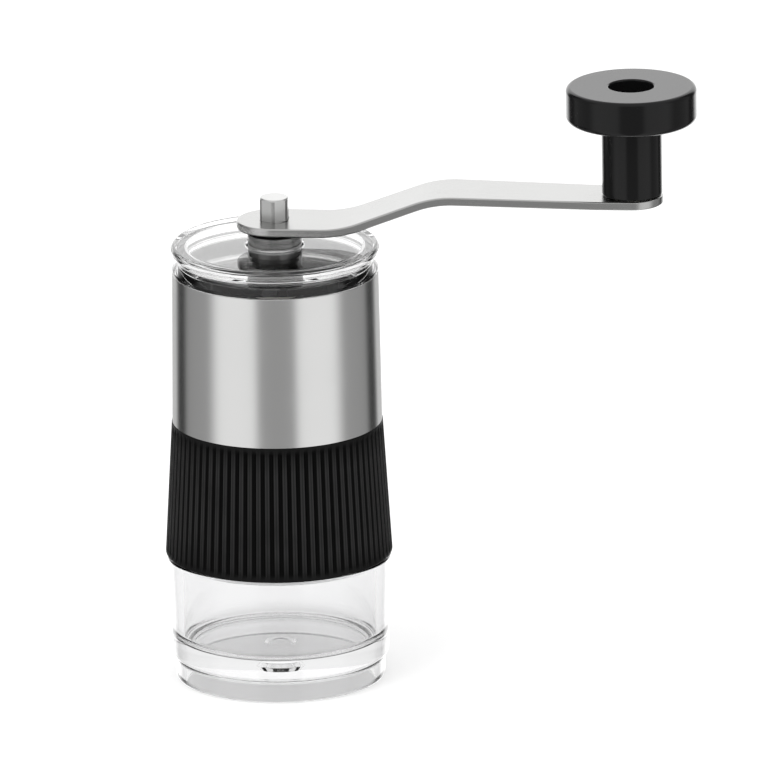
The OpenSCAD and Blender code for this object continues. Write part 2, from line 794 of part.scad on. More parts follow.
module lid() {
    waist_r = rim_r - lid_waist_in;
    bulge_r = rim_r + lid_rim_out;
    bulge_z = rim_z + lid_flange_h + lid_waist_h;
    plug_r = rim_r - sleeve_wall - plug_gap;
    color([0.85, 0.88, 0.9, 0.4]) turned([
        [plug_r - plug_wall, rim_z - plug_h],
        [plug_r, rim_z - plug_h],
        [plug_r, rim_z],
        [rim_r, rim_z],
        [rim_r, rim_z + 0.8],
        [waist_r, rim_z + lid_flange_h],
        [waist_r, bulge_z],
        [bulge_r - 0.7, bulge_z + 0.5],
        [bulge_r, bulge_z + 1.8],
        [bulge_r, bulge_z + lid_rim_h - 1],
        [bulge_r - 0.8, lid_top],
        [collar_r + lid_hole_gap, lid_top],
        [collar_r + lid_hole_gap, lid_top - lid_top_t],
        [plug_r - plug_wall, lid_top - lid_top_t]
    ]);
}

module jar_seal() {
    color([0.9, 0.9, 0.88]) ring(jar_in_r + 0.1, bore_r - 0.3, neck_z, seal_t);
}

module jar() {
    low_in = jar_in_r - jar_draft;
    color([0.85, 0.88, 0.9, 0.4]) {
        turned(concat(
            [
                [0, under_h + gate_h],
                [gate_r, under_h + gate_h],
                [gate_r + 0.7, under_h]
            ],
            arc([under_r - under_fillet, under_h - under_fillet], under_fillet, 90, 0, 5),
            [
                [under_r + 0.3, 0],
                [foot_r - foot_edge, 0],
                [foot_r, foot_edge],
                [foot_r, foot_h],
                [jar_low_r - 0.3, foot_h],
                [jar_low_r, foot_h + foot_blend],
                [jar_top_r - 0.4, jar_h],
                [neck_r, jar_h],
                [neck_r, neck_z],
                [jar_in_r, neck_z]
            ],
            arc([low_in - jar_fillet, jar_floor + jar_fillet], jar_fillet, 0, -90, 5),
            [[0, jar_floor]]
        ));
        ridge(neck_r, neck_r + ridge_h, jar_h + ridge_start);
    }
}

hopper_body();
steel_sleeve();
grip_sleeve();
upper_bridge();
upper_bush();
lower_bush();
outer_burr();
burr_retainer();
retainer_screws();
drive_shaft();
shaft_collar();
collar_washer();
shaft_clip();
thrust_washer();
burr_spring();
inner_burr();
burr_driver();
adjuster_nut();
nut_insert();
crank_arm();
knob_axle();
knob_washer();
knob();
lid();
jar_seal();
jar();
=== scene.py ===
# Hand crank coffee grinder: finer surfaces and finishes around the fixed frame.
import math

import bpy
import numpy as np
from mathutils import Matrix, Vector


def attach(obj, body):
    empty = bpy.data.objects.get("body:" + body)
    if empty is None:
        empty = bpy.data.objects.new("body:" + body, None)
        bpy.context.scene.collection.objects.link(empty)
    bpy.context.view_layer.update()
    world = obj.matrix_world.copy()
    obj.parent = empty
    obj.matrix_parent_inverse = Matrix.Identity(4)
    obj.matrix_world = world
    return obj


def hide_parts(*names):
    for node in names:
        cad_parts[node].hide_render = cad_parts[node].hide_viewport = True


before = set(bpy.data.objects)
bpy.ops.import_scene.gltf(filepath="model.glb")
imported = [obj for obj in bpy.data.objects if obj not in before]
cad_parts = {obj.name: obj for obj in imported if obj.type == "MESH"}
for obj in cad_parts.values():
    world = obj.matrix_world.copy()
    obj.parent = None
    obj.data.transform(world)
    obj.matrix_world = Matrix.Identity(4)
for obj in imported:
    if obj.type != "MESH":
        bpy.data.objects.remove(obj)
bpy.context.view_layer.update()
mm = 0.001
around = 2 * math.pi
tiny = 1e-6


def roundedOutline(corners, steps=6, closed=True):
    # each corner (r, z, fillet) becomes an arc tangent to its two neighbours, with exact normals
    data = np.array(corners, float)
    point, fillet = data[:, :2], data[:, 2]
    back = np.roll(point, 1, axis=0) - point
    ahead = np.roll(point, -1, axis=0) - point
    backUnit = back / np.linalg.norm(back, axis=1, keepdims=True)
    aheadUnit = ahead / np.linalg.norm(ahead, axis=1, keepdims=True)
    cosine = np.clip(np.sum(backUnit * aheadUnit, axis=1), -0.9999, 0.9999)
    half = np.arccos(cosine) / 2
    reach = fillet / np.tan(half)
    bisector = backUnit + aheadUnit
    bisector /= np.linalg.norm(bisector, axis=1, keepdims=True)
    centre = point + bisector * (fillet / np.sin(half))[:, None]
    start = point + backUnit * reach[:, None] - centre
    end = point + aheadUnit * reach[:, None] - centre
    first = np.arctan2(start[:, 1], start[:, 0])
    sweep = np.arctan2(end[:, 1], end[:, 0]) - first
    sweep = (sweep + math.pi) % around - math.pi
    turn = first[:, None] + sweep[:, None] * np.linspace(0, 1, steps + 1)[None, :]
    ray = np.stack([np.cos(turn), np.sin(turn)], axis=-1)
    path = centre[:, None, :] + fillet[:, None, None] * ray
    convex = np.where(sweep > 0, 1.0, -1.0)[:, None, None]
    normal = ray * convex
    if not closed:  # the two ends stay single points that face along the axis
        path[0], path[-1] = point[0], point[-1]
        normal[0], normal[-1] = [0, -1], [0, 1]
    path, normal = path.reshape(-1, 2), normal.reshape(-1, 2)
    gap = np.linalg.norm(path - np.roll(path, 1, axis=0), axis=1)
    keep = gap > tiny
    keep[0] = keep[0] or not closed
    return path[keep], normal[keep]


def turned(outline, normals, columns, centre=(0, 0), swell=None):
    # each outline point (r, z) goes round the axis; swell adds to r as a function of angle and z
    angle = np.linspace(0, around, columns, endpoint=False)[None, :]
    radius = outline[:, :1] + np.zeros_like(angle)
    height = outline[:, 1:] + np.zeros_like(angle)
    if swell is not None:
        radius = radius + swell(angle, radius, height)
    grid = np.stack([centre[0] + radius * np.cos(angle), centre[1] + radius * np.sin(angle), height], -1)
    facing = np.stack([normals[:, :1] * np.cos(angle), normals[:, :1] * np.sin(angle),
                       normals[:, 1:] + 0 * angle], -1)
    return grid, facing


def gridFaces(rows, columns, loop):
    # quads between neighbouring rows, closed round the columns and, for a loop, from the last row to the first
    row = np.arange(rows if loop else rows - 1)[:, None]
    column = np.arange(columns)[None, :]
    following, beside = (row + 1) % rows, (column + 1) % columns
    quads = np.stack([row * columns + column, row * columns + beside,
                      following * columns + beside, following * columns + column], -1)
    return quads.reshape(-1, 4)


def gridNormals(grid, loop):
    # the cross product of the differences along the columns and along the rows
    along = np.roll(grid, -1, axis=1) - np.roll(grid, 1, axis=1)
    up = np.roll(grid, -1, axis=0) - np.roll(grid, 1, axis=0)
    if not loop:
        up[0], up[-1] = grid[1] - grid[0], grid[-1] - grid[-2]
    normal = np.cross(along, up)
    return normal / np.maximum(np.linalg.norm(normal, axis=-1, keepdims=True), 1e-9)


def splitSpan(path, normals, near, fractions):
    # adds points at the given fractions along the span whose middle lies nearest to a point (r, z)
    ahead = np.roll(path, -1, axis=0)
    index = int(np.argmin(np.linalg.norm((path + ahead) / 2 - np.array(near), axis=1)))
    share = np.array(fractions)[:, None]
    added = path[index] + share * (ahead[index] - path[index])
    turn = np.repeat(normals[index:index + 1], len(fractions), axis=0)
    rows = slice(index + 1, index + 1 + len(fractions))
    return np.insert(path, index + 1, added, axis=0), np.insert(normals, index + 1, turn, axis=0), rows


def makePiece(name, grid, loop, slot, body, nodes, facing=None, joined=None, dropped=None, finish=None):
    # puts a grid of points (rows, columns, 3) in millimetres into a mesh; a row on the axis becomes one pole,
    # joined says which grid points are one point, and dropped which quads are left out
    rows, columns = grid.shape[:2]
    points = grid.reshape(-1, 3) * mm
    quads = gridFaces(rows, columns, loop)
    if dropped is not None:
        quads = quads[~dropped.ravel()]
    spread = np.linalg.norm(grid - grid.mean(axis=1, keepdims=True), axis=-1).max(axis=1)
    owner = np.arange(rows * columns).reshape(rows, columns) if joined is None else joined
    owner[spread < tiny] = owner[spread < tiny][:, :1]
    used, compact = np.unique(owner.ravel(), return_inverse=True)
    quads = compact.reshape(-1)[quads]
    flat = (quads[:, 0] == quads[:, 1]) | (quads[:, 2] == quads[:, 3])
    low = quads[flat & (quads[:, 0] == quads[:, 1])][:, [0, 2, 3]]
    high = quads[flat & (quads[:, 2] == quads[:, 3])][:, [0, 1, 2]]
    quads, triangles = quads[~flat], np.concatenate([low, high])
    mesh = bpy.data.meshes.new(name)
    mesh.vertices.add(len(used))
    mesh.vertices.foreach_set("co", points[used].astype(np.float32).ravel())
    corners = np.concatenate([quads.ravel(), triangles.ravel()]).astype(np.int32)
    starts = np.concatenate([np.arange(len(quads)) * 4, quads.size + np.arange(len(triangles)) * 3])
    mesh.loops.add(len(corners))
    mesh.loops.foreach_set("vertex_index", corners)
    mesh.polygons.add(len(starts))
    mesh.polygons.foreach_set("loop_start", starts.astype(np.int32))
    mesh.update(calc_edges=True)
    mesh.polygons.foreach_set("use_smooth", np.ones(len(starts), bool))
    if facing is not None:
        mesh.normals_split_custom_set_from_vertices(facing.reshape(-1, 3)[used].astype(float).tolist())
    mesh.materials.append(finishes[finish or slot])
    piece = bpy.data.objects.new(name, mesh)
    bpy.context.scene.collection.objects.link(piece)
    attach(piece, body)
    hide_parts(*nodes)
    return piece


def newGroup(name, inputs, outputs):
    group = bpy.data.node_groups.new(name, "ShaderNodeTree")
    for label, kind, value in inputs:
        socket = group.interface.new_socket(name=label, in_out="INPUT", socket_type=kind)
        socket.default_value = value
    for label, kind in outputs:
        group.interface.new_socket(name=label, in_out="OUTPUT", socket_type=kind)
    return group, group.nodes.new("NodeGroupInput"), group.nodes.new("NodeGroupOutput")


def addNode(tree, kind, **values):
    # names that are node settings are set as such, the rest are input sockets
    node = tree.nodes.new(kind)
    for name, value in values.items():
        if hasattr(node, name):
            setattr(node, name, value)
        else:
            node.inputs[name].default_value = value
    return node


def makeGrainGroup():
    # fine even grain as on moulded plastic: noise at one scale on object coordinates
    group, given, result = newGroup("fineGrain", [
        ("Scale", "NodeSocketFloat", 900.0), ("Low", "NodeSocketFloat", 0.3), ("High", "NodeSocketFloat", 0.5),
    ], [("Value", "NodeSocketFloat"), ("Height", "NodeSocketFloat")])
    place = addNode(group, "ShaderNodeTexCoord")
    noise = addNode(group, "ShaderNodeTexNoise", Detail=3.0)
    spread = addNode(group, "ShaderNodeMapRange")
    link = group.links.new
    link(place.outputs["Object"], noise.inputs["Vector"])
    link(given.outputs["Scale"], noise.inputs["Scale"])
    link(noise.outputs["Fac"], spread.inputs["Value"])
    link(given.outputs["Low"], spread.inputs["To Min"])
    link(given.outputs["High"], spread.inputs["To Max"])
    link(spread.outputs["Result"], result.inputs["Value"])
    link(noise.outputs["Fac"], result.inputs["Height"])
    return group


def makeBrushGroup():
    # brushed lines: noise squeezed along one direction and drawn out along the others
    group, given, result = newGroup("brushLines", [
        ("Stretch", "NodeSocketVector", (1.0, 1.0, 1.0)), ("Low", "NodeSocketFloat", 0.2),
        ("High", "NodeSocketFloat", 0.3),
    ], [("Value", "NodeSocketFloat"), ("Height", "NodeSocketFloat")])
    place = addNode(group, "ShaderNodeTexCoord")
    squeeze = addNode(group, "ShaderNodeVectorMath", operation="MULTIPLY")
    noise = addNode(group, "ShaderNodeTexNoise", Detail=4.0, Roughness=0.65)
    spread = addNode(group, "ShaderNodeMapRange")
    noise.inputs["Scale"].default_value = 1.0
    link = group.links.new
    link(place.outputs["Object"], squeeze.inputs[0])
    link(given.outputs["Stretch"], squeeze.inputs[1])
    link(squeeze.outputs["Vector"], noise.inputs["Vector"])
    link(noise.outputs["Fac"], spread.inputs["Value"])
    link(given.outputs["Low"], spread.inputs["To Min"])
    link(given.outputs["High"], spread.inputs["To Max"])
    link(spread.outputs["Result"], result.inputs["Value"])
    link(noise.outputs["Fac"], result.inputs["Height"])
    return group


def makeSmudgeGroup():
    # wide soft patches from handling, as a mask from 0 to 1
    group, given, result = newGroup("handlingMarks", [("Scale", "NodeSocketFloat", 60.0)],
                                    [("Mask", "NodeSocketFloat")])
    place = addNode(group, "ShaderNodeTexCoord")
    noise = addNode(group, "ShaderNodeTexNoise", Detail=5.0)
    spread = addNode(group, "ShaderNodeMapRange", interpolation_type="SMOOTHSTEP")
    spread.inputs["From Min"].default_value = 0.45
    spread.inputs["From Max"].default_value = 0.7
    link = group.links.new
    link(place.outputs["Object"], noise.inputs["Vector"])
    link(given.outputs["Scale"], noise.inputs["Scale"])
    link(noise.outputs["Fac"], spread.inputs["Value"])
    link(spread.outputs["Result"], result.inputs["Mask"])
    return group


grainGroup, brushGroup, smudgeGroup = makeGrainGroup(), makeBrushGroup(), makeSmudgeGroup()


def newMaterial(name, colour, metallic=0.0, ior=1.5, specular=0.5, transmission=0.0):
    material = bpy.data.materials.new(name)
    material.use_nodes = True
    tree = material.node_tree
    shader = tree.nodes["Principled BSDF"]
    shader.inputs["Base Color"].default_value = (*colour, 1.0)
    shader.inputs["Metallic"].default_value = metallic
    shader.inputs["IOR"].default_value = ior
    shader.inputs["Specular IOR Level"].default_value = specular
    shader.inputs["Transmission Weight"].default_value = transmission
    material.diffuse_color = (*colour, 1.0)
    return material, tree, shader


def placeGroup(tree, group, **values):
    node = tree.nodes.new("ShaderNodeGroup")
    node.node_tree = group
    for name, value in values.items():
        node.inputs[name].default_value = value
    return node


def addBump(tree, shader, height, strength, distance):
    bump = addNode(tree, "ShaderNodeBump", Strength=strength, Distance=distance)
    tree.links.new(height, bump.inputs["Height"])
    tree.links.new(bump.outputs["Normal"], shader.inputs["Normal"])


bumpDepth = {"grain": 0.00005, "brush": 0.00002}


def mouldedPlastic(name, colour, low, high, scale=700.0, bump=0.05, **shaderValues):
    material, tree, shader = newMaterial(name, colour, **shaderValues)
    grain = placeGroup(tree, grainGroup, Scale=scale, Low=low, High=high)
    tree.links.new(grain.outputs["Value"], shader.inputs["Roughness"])
    addBump(tree, shader, grain.outputs["Height"], bump, bumpDepth["grain"])
    return material


def brushedMetal(name, colour, stretch, low, high, bump=0.04, edge=1.0, marks=0.03):
    # brushed lines in roughness and height, with a little more roughness where it is handled; edge dims the
    # reflection seen at a slant
    material, tree, shader = newMaterial(name, colour, metallic=1.0)
    lines = placeGroup(tree, brushGroup, Stretch=stretch, Low=low, High=high)
    smudge = placeGroup(tree, smudgeGroup, Scale=60.0)
    rough = addNode(tree, "ShaderNodeMath", operation="MULTIPLY_ADD")
    rough.inputs[1].default_value = marks
    tree.links.new(smudge.outputs["Mask"], rough.inputs[0])
    tree.links.new(lines.outputs["Value"], rough.inputs[2])
    tree.links.new(rough.outputs["Value"], shader.inputs["Roughness"])
    shader.inputs["Specular Tint"].default_value = (edge, edge, edge, 1)
    addBump(tree, shader, lines.outputs["Height"], bump, bumpDepth["brush"])
    return material


def clearPlastic(name, colour, ior, low, high, scale=45.0):
    # clear, polished, a little duller where fingers touch it
    material, tree, shader = newMaterial(name, colour, ior=ior, transmission=1.0)
    marks = placeGroup(tree, smudgeGroup, Scale=scale)
    spread = addNode(tree, "ShaderNodeMapRange")
    spread.inputs["To Min"].default_value, spread.inputs["To Max"].default_value = low, high
    tree.links.new(marks.outputs["Mask"], spread.inputs["Value"])
    tree.links.new(spread.outputs["Result"], shader.inputs["Roughness"])
    return material


rubber = {"grainScale": 1500.0, "marksScale": 90.0, "marksShare": 0.25, "bump": 0.08, "specular": 0.08}


def ribbedRubber(name, deep, crest, low, high):
    # soft grained rubber, with painted shade that makes the grooves deep black and a painted highlight that makes
    # the crests greyer, from the mesh's own per-point attribute
    material, tree, shader = newMaterial(name, crest, specular=rubber["specular"])
    link = tree.links.new
    grain = placeGroup(tree, grainGroup, Scale=rubber["grainScale"], Low=low, High=high)
    worn = placeGroup(tree, smudgeGroup, Scale=rubber["marksScale"])
    height = addNode(tree, "ShaderNodeAttribute", attribute_name="ribLightShade")
    # painted light: the crest colour is a painted highlight and the groove colour is painted shade, mixed by the
    # mesh's attribute
    tone = addNode(tree, "ShaderNodeMix", data_type="RGBA")
    tone.inputs["A"].default_value, tone.inputs["B"].default_value = (*deep, 1), (*crest, 1)
    # random handling patches dim the painted crest highlight by up to a quarter
    patchyDim = addNode(tree, "ShaderNodeMath", operation="MULTIPLY_ADD")
    patchyDim.inputs[1].default_value = -rubber["marksShare"]
    share = addNode(tree, "ShaderNodeMath", operation="MULTIPLY", use_clamp=True)
    link(worn.outputs["Mask"], patchyDim.inputs[0])
    patchyDim.inputs[2].default_value = 1.0
    link(height.outputs["Fac"], share.inputs[0])
    link(patchyDim.outputs["Value"], share.inputs[1])
    link(share.outputs["Value"], tone.inputs["Factor"])
    link(tone.outputs["Result"], shader.inputs["Base Color"])
    link(grain.outputs["Value"], shader.inputs["Roughness"])
    addBump(tree, shader, grain.outputs["Height"], rubber["bump"], bumpDepth["grain"])
    return material


steelTone = (0.66, 0.66, 0.655)
finishes = {
    "hopper_plastic": mouldedPlastic("hopperPlastic", (0.012, 0.012, 0.013), 0.3, 0.42),
    "sleeve_steel": brushedMetal("sleeveSteel", steelTone, (30, 30, 9000), 0.16, 0.24, edge=0.35),
    # the grip's two colours are painted shade for the grooves and a painted highlight for the crests
    "grip_silicone": ribbedRubber("gripSilicone", (0.0008, 0.0008, 0.0008), (0.034, 0.034, 0.034), 0.4, 0.6),
    "bush_plastic": mouldedPlastic("bushPlastic", (0.78, 0.77, 0.72), 0.35, 0.45),
    "ceramic": mouldedPlastic("burrCeramic", (0.8, 0.79, 0.74), 0.45, 0.6, scale=2500.0, bump=0.15),
    "screw_steel": brushedMetal("screwSteel", (0.62, 0.62, 0.61), (4000, 4000, 400), 0.2, 0.32),
    "shaft_steel": brushedMetal("shaftSteel", (0.56, 0.56, 0.555), (60, 60, 7000), 0.28, 0.38, edge=0.8),
    "spring_steel": brushedMetal("springSteel", (0.5, 0.5, 0.49), (900, 900, 900), 0.25, 0.4),
    "washer_plastic": mouldedPlastic("washerPlastic", (0.008, 0.008, 0.008), 0.3, 0.45),
    "insert_brass": brushedMetal("insertBrass", (0.72, 0.53, 0.22), (60, 60, 6000), 0.18, 0.3),
    "arm_steel": brushedMetal("armSteel", (0.44, 0.44, 0.435), (60, 1800, 1800), 0.18, 0.32, bump=0.09, edge=0.8),
    "collar": brushedMetal("collarSteel", (0.2, 0.2, 0.198), (60, 60, 7000), 0.1, 0.2),
    "knob_plastic": mouldedPlastic("knobPlastic", (0.006, 0.006, 0.0062), 0.1, 0.2, bump=0.02, ior=1.45,
                                   specular=0.25),
    "clear_plastic": clearPlastic("clearPlastic", (1.0, 1.0, 1.0), 1.49, 0.0, 0.035),
    "jar": clearPlastic("jarPlastic", (0.88, 0.88, 0.883), 1.49, 0.0, 0.04),
    "seal_silicone": mouldedPlastic("sealSilicone", (0.75, 0.75, 0.72), 0.35, 0.5),
}
print("finishes made:", len(finishes))


view = {"azimuth": 5.8, "elevation": 16.9, "roll": 0.78, "lens": 1600.0, "distance": 9.1289,
        "baseX": 281.0, "baseY": 672.6, "imageSide": 773.0, "pixelsPerMetre": 3765.0,
        "sensor": 36.0, "clipStart": 1.0, "clipEnd": 100.0}


def makeCamera():
    # the camera looks along one line; it is shifted sideways so that the base's centre falls where it should
    turn, rise, roll = (math.radians(view[name]) for name in ("azimuth", "elevation", "roll"))
    back = np.array([math.sin(turn) * math.cos(rise), -math.cos(turn) * math.cos(rise), math.sin(rise)])
    levelRight = np.array([math.cos(turn), math.sin(turn), 0.0])
    levelUp = np.cross(back, levelRight)
    right = math.cos(roll) * levelRight - math.sin(roll) * levelUp
    up = math.sin(roll) * levelRight + math.cos(roll) * levelUp
    aside = (view["imageSide"] / 2 - view["baseX"]) / view["pixelsPerMetre"]
    above = (view["baseY"] - view["imageSide"] / 2) / view["pixelsPerMetre"]
    spot = back * view["distance"] + right * aside + up * above
    lens = bpy.data.cameras.new("camera")
    lens.lens, lens.sensor_width = view["lens"], view["sensor"]
    lens.clip_start, lens.clip_end = view["clipStart"], view["clipEnd"]
    camera = bpy.data.objects.new("camera", lens)
    axes = np.column_stack([right, up, back])
    matrix = np.eye(4)
    matrix[:3, :3], matrix[:3, 3] = axes, spot
    bpy.context.scene.collection.objects.link(camera)
    camera.matrix_world = Matrix(matrix.tolist())
    bpy.context.scene.camera = camera


makeCamera()
print("camera placed")


studio = {"cameraSide": 5.8, "front": 0.41, "softbox": 1.08, "flank": 0.4, "flag": 0.07, "backdrop": 1.85,
          "ceiling": 1.0, "ceilingFrom": 0.55, "ceilingFull": 0.8, "fill": 0.7,
          "floorColour": 0.8, "floorLift": 0.45, "floorReach": 6.0,
          "keyWatts": 13.0, "keySpot": (-0.9, -1.0, 1.6), "sideWatts": 6.0, "sideSpot": (1.4, -0.7, 1.0),
          "lampSide": 1.2, "lampTarget": (0, 0, 0.08)}


def makeWorld():
    # reflections see a ring of studio cards, brightness against the angle from the camera's side, under a
    # ceiling; the camera and clear plastic see white, and every other ray an even fill
    world = bpy.data.worlds.new("studio")
    world.use_nodes = True
    bpy.context.scene.world = world
    tree = world.node_tree
    link = tree.links.new
    shader = tree.nodes["Background"]
    place = addNode(tree, "ShaderNodeTexCoord")
    side = math.radians(studio["cameraSide"])
    ahead = addNode(tree, "ShaderNodeVectorMath", operation="DOT_PRODUCT")
    ahead.inputs[1].default_value = (math.sin(side), -math.cos(side), 0)
    across = addNode(tree, "ShaderNodeVectorMath", operation="DOT_PRODUCT")
    across.inputs[1].default_value = (math.cos(side), math.sin(side), 0)
    width = addNode(tree, "ShaderNodeMath", operation="ABSOLUTE")
    angle = addNode(tree, "ShaderNodeMath", operation="ARCTAN2")
    part = addNode(tree, "ShaderNodeMath", operation="DIVIDE")
    part.inputs[1].default_value = math.pi
    link(place.outputs["Generated"], ahead.inputs[0])
    link(place.outputs["Generated"], across.inputs[0])
    link(across.outputs["Value"], width.inputs[0])
    link(width.outputs["Value"], angle.inputs[0])
    link(ahead.outputs["Value"], angle.inputs[1])
    link(angle.outputs["Value"], part.inputs[0])
    ring = addNode(tree, "ShaderNodeValToRGB")
    link(part.outputs["Value"], ring.inputs["Fac"])
    stops = [(0, "front"), (17, "front"), (27, "softbox"), (64, "softbox"), (84, "flank"), (116, "flank"),
             (125, "flag"), (137, "flag"), (152, "backdrop")]
    ramp = ring.color_ramp
    ramp.interpolation = "EASE"
    while len(ramp.elements) < len(stops):
        ramp.elements.new(0.5)
    for element, (degrees, card) in zip(ramp.elements, stops):
        element.position = degrees / 180
        element.color = (studio[card],) * 3 + (1,)
    up = addNode(tree, "ShaderNodeSeparateXYZ")
    link(place.outputs["Generated"], up.inputs["Vector"])
    height = addNode(tree, "ShaderNodeMapRange", interpolation_type="SMOOTHSTEP")
    height.inputs["From Min"].default_value = studio["ceilingFrom"]
    height.inputs["From Max"].default_value = studio["ceilingFull"]
    link(up.outputs["Z"], height.inputs["Value"])
    cards = addNode(tree, "ShaderNodeMix", data_type="RGBA")
    link(height.outputs["Result"], cards.inputs["Factor"])
    link(ring.outputs["Color"], cards.inputs["A"])
    cards.inputs["B"].default_value = (studio["ceiling"],) * 3 + (1,)
    ray = addNode(tree, "ShaderNodeLightPath")
    seen = addNode(tree, "ShaderNodeMath", operation="MAXIMUM")
    link(ray.outputs["Is Camera Ray"], seen.inputs[0])
    link(ray.outputs["Is Transmission Ray"], seen.inputs[1])
    glossy = addNode(tree, "ShaderNodeMix", data_type="RGBA")
    glossy.inputs["A"].default_value = (studio["fill"],) * 3 + (1,)
    link(ray.outputs["Is Glossy Ray"], glossy.inputs["Factor"])
    link(cards.outputs["Result"], glossy.inputs["B"])
    white = addNode(tree, "ShaderNodeMix", data_type="RGBA")
    white.inputs["B"].default_value = (1, 1, 1, 1)
    link(seen.outputs["Value"], white.inputs["Factor"])
    link(glossy.outputs["Result"], white.inputs["A"])
    link(white.outputs["Result"], shader.inputs["Color"])


def makeFloor():
    # a pale floor; light is added where the camera or clear plastic sees it, so that it comes out white
    mesh = bpy.data.meshes.new("floor")
    reach = studio["floorReach"]
    mesh.from_pydata([(-reach, -reach, 0), (reach, -reach, 0), (reach, reach, 0), (-reach, reach, 0)], [],
                     [(0, 1, 2, 3)])
    floor = bpy.data.objects.new("floor", mesh)
    bpy.context.scene.collection.objects.link(floor)
    material, tree, shader = newMaterial("floorPaper", (studio["floorColour"],) * 3, specular=0.0)
    shader.inputs["Roughness"].default_value = 1.0
    shader.inputs["Emission Color"].default_value = (1, 1, 1, 1)
    ray = addNode(tree, "ShaderNodeLightPath")
    seen = addNode(tree, "ShaderNodeMath", operation="MAXIMUM")
    lift = addNode(tree, "ShaderNodeMath", operation="MULTIPLY")
    lift.inputs[1].default_value = studio["floorLift"]
    tree.links.new(ray.outputs["Is Camera Ray"], seen.inputs[0])
    tree.links.new(ray.outputs["Is Transmission Ray"], seen.inputs[1])
    tree.links.new(seen.outputs["Value"], lift.inputs[0])
    tree.links.new(lift.outputs["Value"], shader.inputs["Emission Strength"])
    mesh.materials.append(material)
    floor.visible_glossy = False  # reflections see the studio cards, which reach below the floor's edge


def makeLamp(name, watts, spot):
    lamp = bpy.data.lights.new(name, "AREA")
    lamp.energy, lamp.size = watts, studio["lampSide"]
    holder = bpy.data.objects.new(name, lamp)
    holder.location = spot
    direction = Vector(studio["lampTarget"]) - Vector(spot)
    holder.rotation_euler = direction.to_track_quat("-Z", "Y").to_euler()
    holder.visible_camera = holder.visible_glossy = holder.visible_transmission = False
    bpy.context.scene.collection.objects.link(holder)


bpy.context.scene.view_settings.view_transform = "Standard"
makeWorld()
makeFloor()
makeLamp("keyLamp", studio["keyWatts"], studio["keySpot"])
makeLamp("sideLamp", studio["sideWatts"], studio["sideSpot"])
print("studio ready")

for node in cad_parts.values():
    for slot in node.material_slots:
        slotName = slot.material.name.split(".")[0]
        slot.material = finishes[slotName]
print("finishes placed on", len(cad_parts), "nodes")


def makeTurned(name, slot, body, node, corners, columns, steps, centre=(0, 0), finish=None):
    # (radius, height, fillet) corners in millimetres, carried round an upright axis
    outline, facing = roundedOutline(corners, steps)
    grid, normals = turned(outline, facing, columns, centre)
    makePiece(name, grid, True, slot, body, [node], normals, finish=finish)


lidShape = {"topZ": 119.2, "rimZ": 111.6, "plugLow": 106.5, "plugR": 26.4, "plugIn": 24.0, "flangeR": 27.35,
            "flangeH": 0.9, "waistR": 25.8, "waistLow": 2.4, "waistHigh": 3.7, "bulgeR": 27.7, "bulgeLow": 5.3,
            "bulgeHigh": 6.6, "bulgeLean": 0.25, "topLean": 0.7, "holeR": 7.8, "plate": 2.5, "columns": 192}


def makeLid():
    # flange, waist and bulge stand at heights over the rim; the plate closes the top round the shaft's hole
    d = lidShape
    rim, underside = d["rimZ"], d["topZ"] - d["plate"]
    makeTurned("lidClear", "clear_plastic", "lid", "lid", [
        (d["plugIn"], d["plugLow"], 0.3), (d["plugR"], d["plugLow"], 0.3), (d["plugR"], rim, 0.2),
        (d["flangeR"], rim, 0.25), (d["flangeR"], rim + d["flangeH"], 0.5),
        (d["waistR"], rim + d["waistLow"], 0.8), (d["waistR"], rim + d["waistHigh"], 0.8),
        (d["bulgeR"] - d["bulgeLean"], rim + d["bulgeLow"], 1.0), (d["bulgeR"], rim + d["bulgeHigh"], 0.6),
        (d["bulgeR"] - d["topLean"], d["topZ"], 0.9), (d["holeR"], d["topZ"], 0.3),
        (d["holeR"], underside, 0.3), (d["plugIn"], underside, 0.8),
    ], d["columns"], steps=6)


sleeveShape = {"lowZ": 70.6, "topZ": 111.6, "lowR": 27.85, "topR": 27.35, "wall": 0.8, "columns": 192}


def makeSleeve():
    d = sleeveShape
    makeTurned("sleeveTube", "sleeve_steel", "body", "steel_sleeve", [
        (d["lowR"] - d["wall"], d["lowZ"], 0.1), (d["lowR"], d["lowZ"], 0.15),
        (d["topR"], d["topZ"], 0.3), (d["topR"] - d["wall"], d["topZ"], 0.2),
    ], d["columns"], steps=5)


# toneDepth, toneCurve, bandShare and bandReach shape the painted light and shade on the ribs
gripShape = {"lowZ": 34.2, "topZ": 70.6, "lowR": 30.1, "topR": 28.0, "stepZ": 49.0, "band": 0.75, "wall": 1.35,
             "ribs": 76, "perRib": 14, "depth": 0.5, "groove": 0.68, "crown": 0.14, "margin": 1.3, "fade": 0.9,
             "endRows": 9, "endEase": 1.6, "skin": 0.3, "bandShare": 0.22, "bandReach": 3, "toneDepth": 0.6,
             "toneCurve": 1.5}


